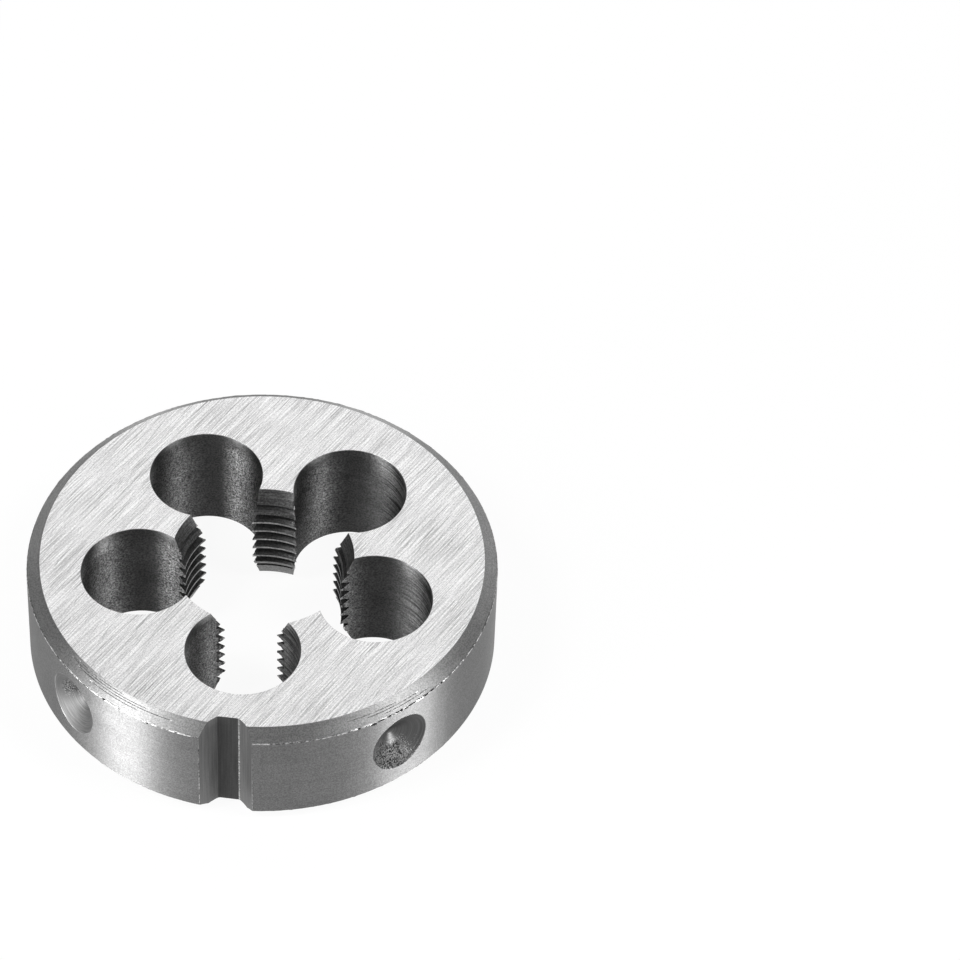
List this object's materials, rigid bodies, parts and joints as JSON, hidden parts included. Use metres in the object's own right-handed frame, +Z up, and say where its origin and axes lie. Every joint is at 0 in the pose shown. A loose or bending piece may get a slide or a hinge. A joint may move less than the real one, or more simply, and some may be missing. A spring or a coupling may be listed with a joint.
{
  "type": "round threading die",
  "caption": "Flat steel disc with a threaded bore parted by open chip holes, and a notch and conical screw seats in its rim; turned on a rod, it cuts an outside thread.",
  "frame": {"origin": "where the thread's axis meets the underside", "axes": "+Z up the thread's axis, -Y towards the adjusting notch in the rim"},
  "size_m": [0.038, 0.0379, 0.01],
  "materials": {
    "tool_steel": "bare hardened tool steel, ground on the flat faces and turned on the rim"
  },
  "bodies": {
    "root": {"threading_die": "tool_steel"}
  },
  "joints": []
}
